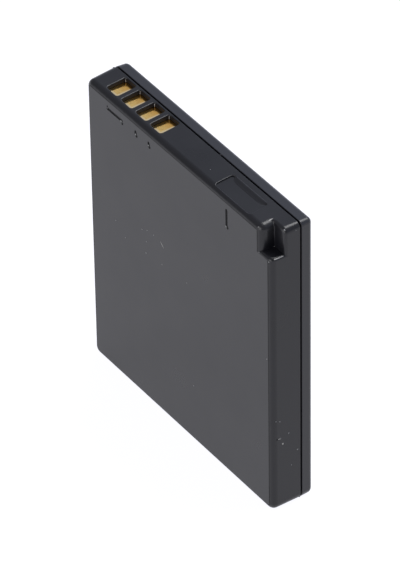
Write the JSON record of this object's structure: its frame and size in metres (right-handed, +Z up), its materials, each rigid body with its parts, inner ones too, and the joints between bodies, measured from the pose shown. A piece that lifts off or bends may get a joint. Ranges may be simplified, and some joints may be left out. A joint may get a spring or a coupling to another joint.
{
  "type": "camera battery",
  "caption": "Thin rectangular camera battery pack with sunken contacts and a key notch at its upper end.",
  "frame": {"origin": "middle of the pack's footprint, at its lower end", "axes": "+Z up to the end with the contacts, +X across the pack towards the key notch, -Y out of the front face"},
  "size_m": [0.0354, 0.0054, 0.04],
  "materials": {
    "shell_plastic": "dark grey moulded plastic with a fine satin grain",
    "cover_plastic": "dark grey moulded plastic with a fine satin grain",
    "contact_gold": "gold plated, satin",
    "board_resin": "green solder mask over glass and resin",
    "carrier_plastic": "black moulded plastic",
    "can_aluminium": "drawn, satin",
    "terminal_nickel": "nickel plated",
    "gasket_plastic": "natural moulded plastic",
    "insulator_sheet": "pressed fibre sheet",
    "strip_nickel": "rolled nickel",
    "fuse_cover": "coated polymer",
    "chip_resin": "black moulded resin",
    "component_dark": "glazed ceramic",
    "component_tan": "sintered ceramic",
    "adhesive_film": "translucent double sided sheet",
    "pad_foam": "closed cell foam"
  },
  "bodies": {
    "root": {"front_shell": "shell_plastic", "back_cover": "cover_plastic", "contact_1": "contact_gold", "contact_2": "contact_gold", "contact_3": "contact_gold", "contact_4": "contact_gold", "circuit_board": "board_resin", "board_carrier": "carrier_plastic", "cell_can": "can_aluminium", "fill_plug": "can_aluminium", "cell_terminal": "terminal_nickel", "terminal_gasket": "gasket_plastic", "cap_insulator": "insulator_sheet", "terminal_strip": "strip_nickel", "negative_tab": "strip_nickel", "positive_tab": "strip_nickel", "thermal_fuse": "fuse_cover", "protection_chip": "chip_resin", "switch_transistor": "chip_resin", "thermistor": "component_dark", "sense_resistor": "component_dark", "filter_resistor": "component_dark", "filter_capacitor": "component_tan", "static_capacitor": "component_tan", "front_adhesive": "adhesive_film", "back_adhesive": "adhesive_film", "foam_pad": "pad_foam"}
  },
  "joints": []
}
